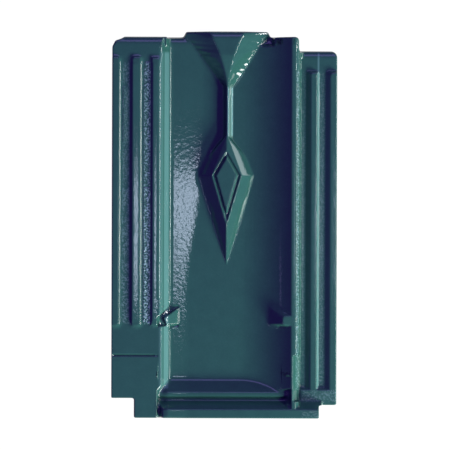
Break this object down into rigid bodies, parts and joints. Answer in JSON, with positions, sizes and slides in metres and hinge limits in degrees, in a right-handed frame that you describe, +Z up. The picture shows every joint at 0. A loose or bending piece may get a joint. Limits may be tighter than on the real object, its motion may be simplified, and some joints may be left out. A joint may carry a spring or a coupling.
{
  "type": "roof tile",
  "caption": "Green glazed interlocking clay roof tile: flat pan with a raised lozenge and a flared foot, a ribbed cover flange and a ribbed lock flange.",
  "frame": {"origin": "bottom centre of the tile's box, in the plane that it lies on", "axes": "+X across the tile towards the lock flange, +Y down the roof towards the foot, +Z up out of the weather face"},
  "size_m": [0.242, 0.415, 0.043],
  "materials": {
    "green_glaze": "glossy"
  },
  "bodies": {
    "root": {"roof_tile": "green_glaze"}
  },
  "joints": []
}
